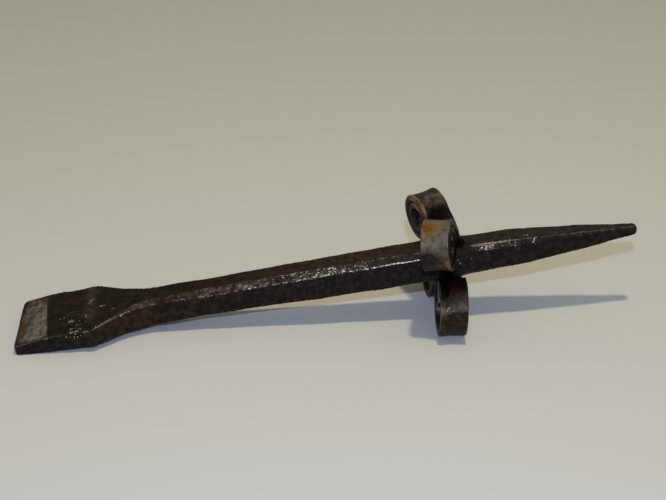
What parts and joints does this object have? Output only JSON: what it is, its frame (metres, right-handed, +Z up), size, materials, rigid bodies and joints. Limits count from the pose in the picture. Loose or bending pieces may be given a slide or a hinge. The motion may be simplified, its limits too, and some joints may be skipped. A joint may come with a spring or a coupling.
{
  "type": "field scythe peening anvil",
  "caption": "Forged field anvil for peening scythe blades: a flared steel-faced head on a square bar, scrolled straps through a slot, and a long ground spike.",
  "frame": {"origin": "on the ground, under the middle of the tool's box as it lies at rest on its working edge and its two lower scrolls", "axes": "+X from the working edge toward the tip of the spike, +Y toward the back strap, +Z up"},
  "size_m": [0.377, 0.0802, 0.0754],
  "materials": {
    "forged_bar": "fire-scaled, brown and black, bright on its worn arrises",
    "forged_steel_face": "fire-scaled, worn to grey with rust on its bevel",
    "forged_strap": "fire-scaled, worn grey and rusty brown"
  },
  "bodies": {
    "root": {"shank": "forged_bar", "steel_bit": "forged_steel_face", "front_strap": "forged_strap", "back_strap": "forged_strap"}
  },
  "joints": []
}
